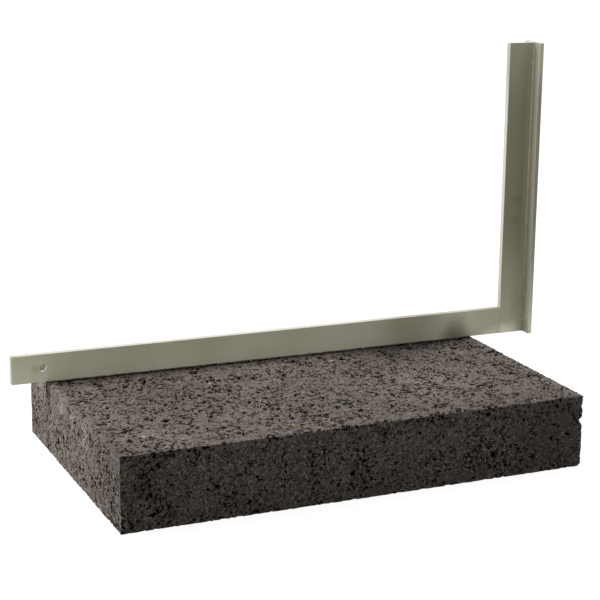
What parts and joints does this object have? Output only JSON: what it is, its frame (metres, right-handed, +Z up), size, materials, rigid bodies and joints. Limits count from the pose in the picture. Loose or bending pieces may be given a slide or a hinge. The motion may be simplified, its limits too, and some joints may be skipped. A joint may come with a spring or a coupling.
{
  "type": "asphalt slab with flanged square",
  "caption": "Compacted asphalt slab with a flanged steel square standing on its blade's edge across the top, for checking that the rolled face is flat.",
  "frame": {"origin": "middle of the slab's underside", "axes": "+X along the slab from left end to right end, +Y to the slab's rear, +Z up"},
  "size_m": [0.5002, 0.26, 0.338],
  "materials": {
    "mastic": "matte",
    "coated_stone": "matte",
    "tan_stone": "matte",
    "white_stone": "matte",
    "ground_steel": "satin",
    "braze": "satin"
  },
  "bodies": {
    "slab": {"mastic_body": "mastic", "coarse_stones": "coated_stone", "medium_stones": "coated_stone", "tan_chips": "tan_stone", "white_chips": "white_stone"},
    "square": {"blade": "ground_steel", "stock_web": "ground_steel", "stock_flange": "ground_steel", "corner_braze": "braze", "flange_braze": "braze"}
  },
  "joints": [
    {"name": "square_sweep", "type": "slide", "parent": "slab", "child": "square", "axis": [0, 1, 0], "range_m": [-0.19, 0.045]}
  ]
}
